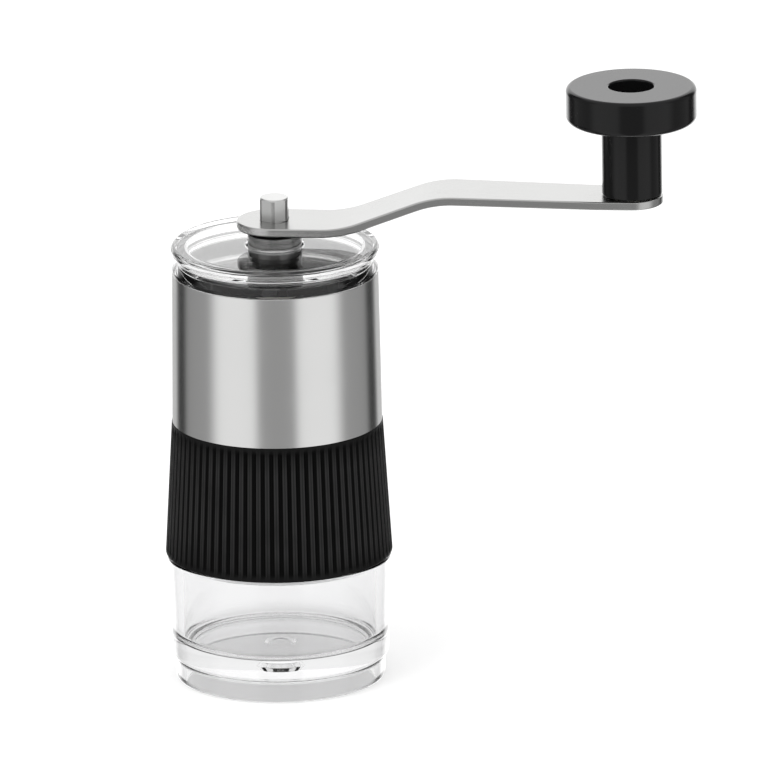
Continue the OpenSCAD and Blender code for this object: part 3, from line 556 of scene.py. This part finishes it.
def makeGrip():
    # a cone with upright grooves: each groove is a half ellipse across, and rises in a quarter ellipse at its
    # ends; the painted light stored per point on the mesh falls with depth under the cone and towards the plain
    # bands at both ends, leaving painted shade there
    d = gripShape

    def wallR(z):
        return d["topR"] + (d["lowR"] - d["topR"]) * (d["topZ"] - z) / (d["topZ"] - d["lowZ"])

    def endShare(z):
        return np.minimum(z - d["lowZ"] - d["margin"], d["topZ"] - d["margin"] - z) / d["fade"]

    outline, facing = roundedOutline([
        (d["lowR"] - d["band"], d["lowZ"], 0.1), (d["lowR"], d["lowZ"], 0.45), (d["topR"], d["topZ"], 0.3),
        (d["topR"] - d["wall"], d["topZ"], 0.1), (wallR(d["stepZ"]) - d["wall"], d["stepZ"], 0.1),
        (wallR(d["stepZ"]) - d["band"], d["stepZ"], 0.1),
    ], steps=4)
    tall, middle = d["topZ"] - d["lowZ"], (d["topZ"] + d["lowZ"]) / 2
    ends = (d["margin"] + d["fade"] * np.linspace(0, 1, d["endRows"]) ** d["endEase"]) / tall
    between = [0.2, 0.35, 0.5, 0.65, 0.8]
    outline, facing, wall = splitSpan(outline, facing, (wallR(middle), middle),
                                      np.concatenate([ends, between, 1 - ends[::-1]]))
    quarter = 0.25  # of the width of one rib and its groove

    def swell(angle, radius, z):
        phase = (angle * d["ribs"] / around) % 1 - 0.5
        across = np.abs(phase) * around * d["lowR"] / d["ribs"]
        inside = np.sqrt(np.clip(1 - (across / d["groove"]) ** 2, 0, 1))
        crest = np.clip((np.abs(phase) - quarter) / quarter, -1, 1) ** 2 * d["crown"]
        end = endShare(z)
        deep = np.sqrt(np.clip(1 - (1 - np.clip(end, 0, 1)) ** 2, 0, 1))
        outside = (radius > wallR(z) - d["skin"]) & (end > 0)
        return -np.where(outside, deep * (d["depth"] * inside + crest), 0)

    grid, normals = turned(outline, facing, d["ribs"] * d["perRib"], swell=swell)
    normals[wall] = gridNormals(grid, True)[wall]
    piece = makePiece("gripRibbed", grid, True, "grip_silicone", "body", ["grip_sleeve"], normals)
    # painted shade and highlight: the stored value is lighter on the crests and darker with depth into the grooves
    # and on the plain end bands
    fallen = wallR(grid[..., 2]) - np.hypot(grid[..., 0], grid[..., 1])
    ribbed = d["bandShare"] + (1 - d["bandShare"]) * np.clip(endShare(grid[..., 2]) / d["bandReach"], 0, 1)
    tone = np.clip(1 - fallen / (d["toneDepth"] * d["depth"]), 0, 1) ** d["toneCurve"] * ribbed
    stored = piece.data.attributes.new("ribLightShade", "FLOAT", "POINT")
    stored.data.foreach_set("value", tone.astype(np.float32).ravel())


jarShape = {"footR": 27.7, "footZ": 6.4, "lowR": 28.8, "topR": 29.75, "topZ": 33.9, "neckR": 26.9, "neckZ": 45.9,
            "inR": 25.6, "draft": 0.3, "floorZ": 11.0, "floorFillet": 3.0, "pitch": 4.0, "ridge": 0.6,
            "ridgeZ": 38.0, "ridgeTurns": 1.0, "underR": 24.0, "under": 5.4, "underFillet": 1.5,
            "gateR": 3.5, "gateH": 1.2, "gateLean": 0.7, "footLean": 0.5, "stepLean": 0.1, "ridgeWidth": 1.1,
            "ridgeFade": 6, "neckRows": 46, "neckLow": 0.5, "neckHigh": 0.4, "skin": 0.05, "columns": 192}


def makeJar():
    # the outline of the jar; on its neck a helical ridge, a raised cosine across and faded at both ends
    d = jarShape
    outline, facing = roundedOutline([
        (0, d["under"] + d["gateH"], 1), (d["gateR"], d["under"] + d["gateH"], 0.3),
        (d["gateR"] + d["gateLean"], d["under"], 0.3), (d["underR"], d["under"], d["underFillet"]),
        (d["underR"] + d["footLean"], 0, 0.4), (d["footR"], 0, 0.9), (d["footR"], d["footZ"], 0.4),
        (d["lowR"] - d["stepLean"], d["footZ"], 0.8),
        (d["topR"], d["topZ"], 0.7), (d["neckR"], d["topZ"], 0.4), (d["neckR"], d["neckZ"], 0.3),
        (d["inR"], d["neckZ"], 0.3), (d["inR"] - d["draft"], d["floorZ"], d["floorFillet"]), (0, d["floorZ"], 1),
    ], steps=8, closed=False)
    outline, facing, neck = splitSpan(outline, facing, (d["neckR"], (d["topZ"] + d["neckZ"]) / 2),
                                      np.linspace(0, 1, d["neckRows"])[1:-1])

    def swell(angle, radius, z):
        turns = (z - d["ridgeZ"]) / d["pitch"]
        nearest = np.round(turns - angle / around) + angle / around
        along = np.clip(nearest, 0, d["ridgeTurns"])
        away = np.abs(turns - along) * d["pitch"] / d["ridgeWidth"]
        bump = 0.5 + 0.5 * np.cos(math.pi * np.clip(away, 0, 1))
        fade = np.clip(d["ridgeFade"] * np.minimum(along, d["ridgeTurns"] - along), 0, 1)
        onNeck = np.abs(radius - d["neckR"]) < d["skin"]
        onNeck &= (z > d["topZ"] + d["neckLow"]) & (z < d["neckZ"] - d["neckHigh"])
        return np.where(onNeck, d["ridge"] * bump * fade, 0)

    grid, normals = turned(outline, facing, d["columns"], swell=swell)
    normals[neck] = gridNormals(grid, False)[neck]
    makePiece("jarClear", grid, False, "clear_plastic", "jar", ["jar"], normals, finish="jar")


armShape = {"hubR": 10.0, "endR": 8.2, "reach": 95.2, "lowZ": 123.5, "plate": 2.3, "rise": 9.2, "droop": 0.8,
            "bendX": 12.9, "bendAngle": 20.5, "bendR": 30.0, "hexFlats": 7.5, "axleR": 2.52, "edge": 0.55,
            "overrun": 1.0, "crestEase": 0.2, "seatEase": 1.0, "samples": 2400,
            "endColumns": 40, "spanColumns": 130, "hubColumns": 48, "arcRows": 6}


def armMiddle():
    # the plate's middle line from the side: its slope eases up into the rise and down again past level, then
    # level under the knob; height is the running sum of the slope, scaled to end exactly at rise less droop
    d = armShape
    x = np.linspace(-d["hubR"] - d["overrun"], d["reach"] + d["endR"] + d["overrun"], d["samples"])
    steep = math.radians(d["bendAngle"])
    bend = d["bendR"] * math.sin(steep)
    run = (d["rise"] - 2 * d["bendR"] * (1 - math.cos(steep))) / math.tan(steep)
    crest = d["bendX"] + 2 * bend + run
    seat = d["reach"] - d["endR"] - d["overrun"]
    down = math.atan(d["droop"] / (seat - crest))
    slope = np.interp(x, [d["bendX"], d["bendX"] + bend, crest - bend, crest + d["crestEase"],
                          seat - d["seatEase"], seat + d["seatEase"]], [0, steep, steep, -down, -down, 0])
    z = np.concatenate([[0], np.cumsum(np.tan((slope[1:] + slope[:-1]) / 2) * np.diff(x))])
    z *= (d["rise"] - d["droop"]) / z[-1]
    return x, z + d["lowZ"] + d["plate"] / 2, slope


def makeArm():
    # rings from the holes' edge out over the bottom, round the edge and back over the top; the inner ring goes
    # round the axle hole, along the middle line, round the hex hole and back, and its two middle runs are joined
    d = armShape
    lineX, lineZ, slope = armMiddle()
    lean = math.asin((d["hubR"] - d["endR"]) / d["reach"])
    share = [np.linspace(0, 1, d[count] + 1)[:-1] for count in ("endColumns", "spanColumns", "hubColumns")]
    endTurn, hubTurn = share[0] * (math.pi / 2 - lean), math.pi / 2 - lean + share[2] * (math.pi / 2 + lean)
    turn = np.concatenate([endTurn, np.full(len(share[1]), math.pi / 2 - lean), hubTurn, [math.pi]])
    out = np.stack([np.cos(turn), np.sin(turn)], -1)
    centre = np.concatenate([np.full(len(share[0]), d["reach"]), d["reach"] * (1 - share[1]),
                             np.zeros(len(share[2]) + 1)])
    reach = np.interp(centre, [0, d["reach"]], [d["hubR"], d["endR"]])
    outer = np.stack([centre, 0 * centre], -1) + reach[:, None] * out
    flatR = d["hexFlats"] / 2
    holeTurn, hexTurn = share[0] * math.pi, np.append(share[2], 1) * math.pi
    hexAt = flatR / np.cos((hexTurn + math.pi / 6) % (math.pi / 3) - math.pi / 6)
    inner = np.concatenate([
        np.stack([d["reach"] + d["axleR"] * np.cos(holeTurn), d["axleR"] * np.sin(holeTurn)], -1),
        np.stack([d["reach"] - d["axleR"] + share[1] * (flatR + d["axleR"] - d["reach"]), 0 * share[1]], -1),
        np.stack([hexAt * np.cos(hexTurn), hexAt * np.sin(hexTurn)], -1)])
    half = len(turn)
    mirror = np.array([1.0, -1.0])
    outer, inner, out = (np.concatenate([part, part[-2:0:-1] * mirror]) for part in (outer, inner, out))
    level = {}
    for side in (1, -1):  # the two faces stand half a plate off the middle line, at right angles to it
        faceX, faceZ = lineX - side * d["plate"] / 2 * np.sin(slope), lineZ + side * d["plate"] / 2 * np.cos(slope)
        level[side] = (faceX, faceZ)
    rim = outer - out * d["edge"]
    quarter = np.linspace(0, math.pi / 2, d["arcRows"])
    sweep = np.concatenate([np.zeros(3), quarter[1:], quarter[::-1][:-1], np.zeros(3)])
    side = np.concatenate([-np.ones(2 + d["arcRows"]), np.ones(2 + d["arcRows"])])
    inward = np.concatenate([[0, 0.5], np.ones(2 * d["arcRows"]), [0.5, 0]])[:, None, None]
    flat = inner + (rim - inner) * inward + out * (d["edge"] * np.sin(sweep))[:, None, None]
    up = side[:, None] > 0
    tall = np.where(up, np.interp(flat[..., 0], *level[1]), np.interp(flat[..., 0], *level[-1]))
    tall -= (side * d["edge"] * (1 - np.cos(sweep)))[:, None]
    tilt = np.where(up, np.interp(flat[..., 0], level[1][0], slope), np.interp(flat[..., 0], level[-1][0], slope))
    grid = np.concatenate([flat, tall[..., None]], -1)
    face = np.stack([-np.sin(tilt), 0 * tilt, np.cos(tilt)], -1) * side[:, None, None]
    wall = np.concatenate([np.broadcast_to(out, flat.shape), 0 * tall[..., None]], -1)
    normals = face * np.cos(sweep)[:, None, None] + wall * np.sin(sweep)[:, None, None]
    rows, columns = tall.shape
    joined = np.arange(rows * columns).reshape(rows, columns)
    slit = np.arange(len(share[0]), len(share[0]) + len(share[1]) + 1)
    for row in (0, rows - 1):
        joined[row, 2 * half - 2 - slit] = joined[row, slit]
    dropped = np.zeros((rows, columns), bool)
    dropped[rows - 1, slit[:-1]] = dropped[rows - 1, 2 * half - 3 - slit[:-1]] = True
    makePiece("armPlate", grid, True, "arm_steel", "arm", ["crank_arm"], normals, joined, dropped)


knobShape = {"x": 95.2, "seatZ": 134.2, "discZ": 154.5, "topZ": 164.0, "stemR": 8.0, "discR": 17.35,
             "recessR": 6.0, "recessZ": 156.0, "boreR": 3.1, "washerR": 6.5, "washerUp": 0.75, "stemUp": 0.3,
             "columns": 160}


def makeKnob():
    d = knobShape
    washer, stem = d["seatZ"] + d["washerUp"], d["seatZ"] + d["stemUp"]
    makeTurned("knobTurned", "knob_plastic", "knob", "knob", [
        (d["boreR"], washer, 0.1), (d["washerR"], washer, 0.1), (d["washerR"], stem, 0.1),
        (d["stemR"], stem, 0.45), (d["stemR"], d["discZ"], 0.9), (d["discR"], d["discZ"], 1.7),
        (d["discR"], d["topZ"], 1.3), (d["recessR"], d["topZ"], 0.5), (d["recessR"], d["recessZ"], 0.4),
        (d["boreR"], d["recessZ"], 0.1),
    ], d["columns"], steps=8, centre=(d["x"], 0))


collarShape = {"boreR": 4.02, "outR": 7.2, "lowZ": 106.6, "topZ": 122.2, "washerIn": 4.06, "washerR": 6.1,
               "washerZ": 123.5, "columns": 128}


def makeCollar():
    # the steel collar, and the black washer that lies between it and the arm
    d = collarShape
    makeTurned("collarTurned", "shaft_steel", "shaft", "shaft_collar", [
        (d["boreR"], d["lowZ"], 0.1), (d["outR"], d["lowZ"], 0.3), (d["outR"], d["topZ"], 0.35),
        (d["boreR"], d["topZ"], 0.1),
    ], d["columns"], steps=5, finish="collar")
    makeTurned("washerBlack", "washer_plastic", "shaft", "collar_washer", [
        (d["washerIn"], d["topZ"], 0.1), (d["washerR"], d["topZ"], 0.2), (d["washerR"], d["washerZ"], 0.2),
        (d["washerIn"], d["washerZ"], 0.1),
    ], d["columns"], steps=4)


makeLid()
makeSleeve()
makeGrip()
makeJar()
makeArm()
makeKnob()
makeCollar()
print("lid, sleeve, grip, jar, arm, knob and collar made")
